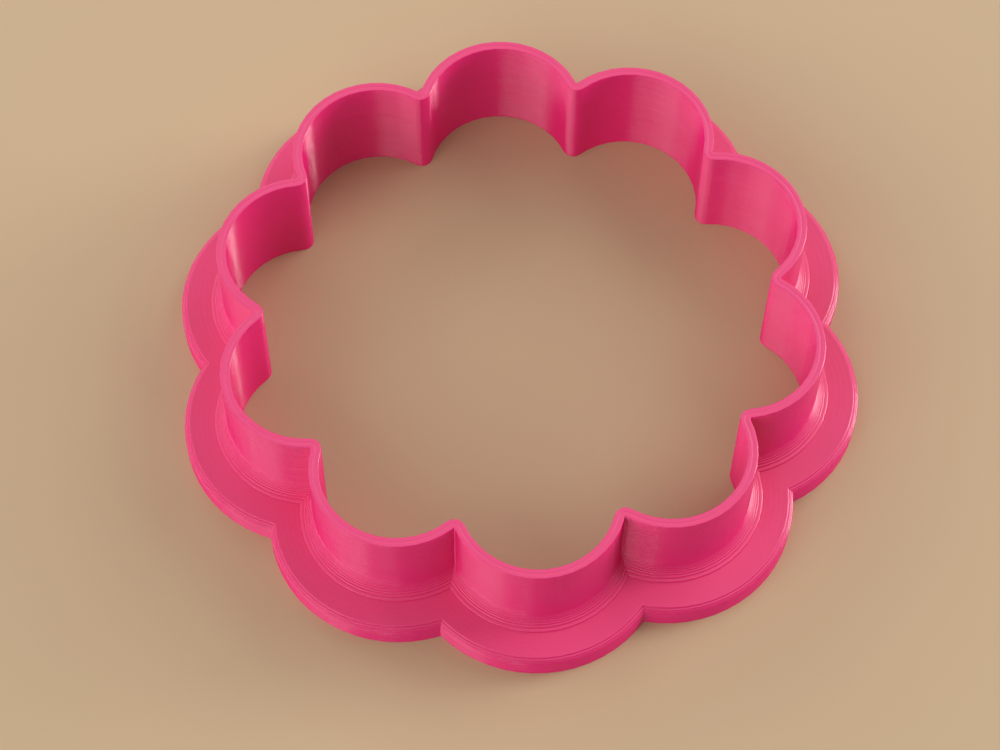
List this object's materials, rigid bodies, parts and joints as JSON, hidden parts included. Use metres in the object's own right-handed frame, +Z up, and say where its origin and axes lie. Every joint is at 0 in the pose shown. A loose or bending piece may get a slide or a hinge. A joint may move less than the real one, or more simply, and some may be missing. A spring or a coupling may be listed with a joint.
{
  "type": "fluted cookie cutter",
  "caption": "Round cookie cutter with a scalloped upright wall, a thin cutting rim and a flat outward grip flange, in glossy pink printed plastic.",
  "frame": {"origin": "middle of the flange's underside, which lies on the table", "axes": "+Z up along the ring's axis to the cutting rim, +X through the crown of one lobe"},
  "size_m": [0.0828, 0.0802, 0.0146],
  "materials": {
    "pink_plastic": "glossy printed plastic with fine horizontal layer lines"
  },
  "bodies": {
    "root": {"grip_flange": "pink_plastic", "fluted_wall": "pink_plastic", "cutting_rim": "pink_plastic"}
  },
  "joints": []
}
